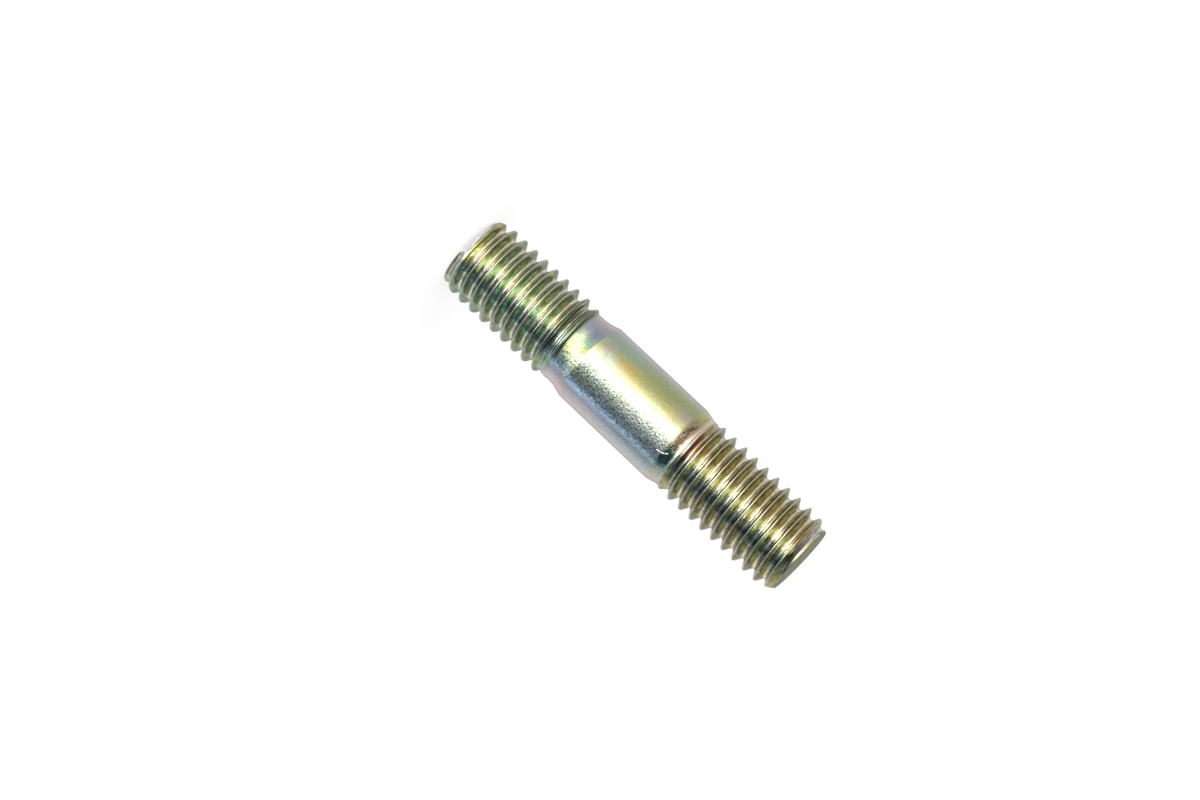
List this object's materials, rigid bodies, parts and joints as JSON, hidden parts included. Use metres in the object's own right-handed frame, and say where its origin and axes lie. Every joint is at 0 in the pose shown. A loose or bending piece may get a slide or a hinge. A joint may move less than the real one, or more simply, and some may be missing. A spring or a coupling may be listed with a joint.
{
  "type": "double ended stud",
  "caption": "Headless steel stud: coarse metric right-hand thread at each end, plain shank between, yellow zinc plated; joins two parts with a nut.",
  "frame": {"origin": "centre of the lower end's face, where the stud stands", "axes": "+Z along the stud's axis, from the shorter threaded end up to the longer one"},
  "size_m": [0.0078, 0.0078, 0.039],
  "materials": {
    "plated_steel": "bright yellow zinc plate with an iridescent green, gold and blue film"
  },
  "bodies": {
    "root": {"stud": "plated_steel"}
  },
  "joints": []
}
